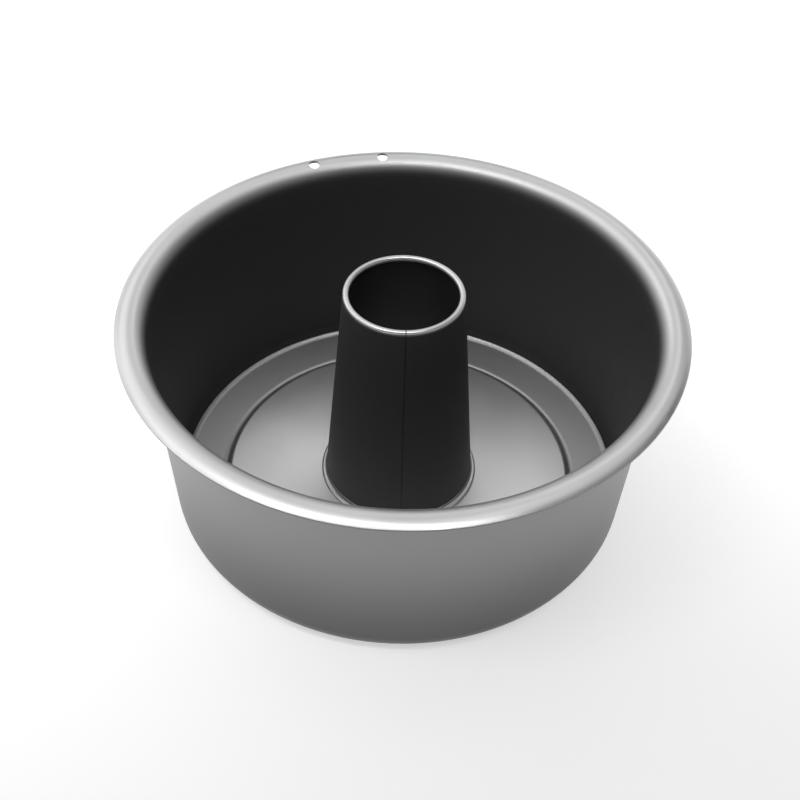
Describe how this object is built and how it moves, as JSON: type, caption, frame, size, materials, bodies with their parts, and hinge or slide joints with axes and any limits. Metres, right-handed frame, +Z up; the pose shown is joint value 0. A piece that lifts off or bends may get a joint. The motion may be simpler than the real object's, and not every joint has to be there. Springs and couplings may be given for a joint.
{
  "type": "angel food cake pan",
  "caption": "Round, deep cake pan with a rolled rim and a lift-out insert: a stepped base plate and a tapered, seamed centre tube.",
  "frame": {"origin": "centre of the face that the pan stands on", "axes": "+Z up along the tube's axis, +Y towards the middle of the two hanging holes in the rim"},
  "size_m": [0.254, 0.254, 0.116],
  "materials": {
    "pan_metal": "satin, brighter on the rolled rim; dark charcoal release coat on the inner wall",
    "plate_metal": "satin",
    "tube_metal": "dark charcoal release coat, bare satin on the rolled lip and on the bead at the foot"
  },
  "bodies": {
    "outer_pan": {"outer_pan": "pan_metal"},
    "insert": {"base_plate": "plate_metal", "centre_tube": "tube_metal"}
  },
  "joints": [
    {"name": "insert_lift", "type": "slide", "parent": "outer_pan", "child": "insert", "axis": [0, 0, 1], "range_m": [0, 0.12]}
  ]
}
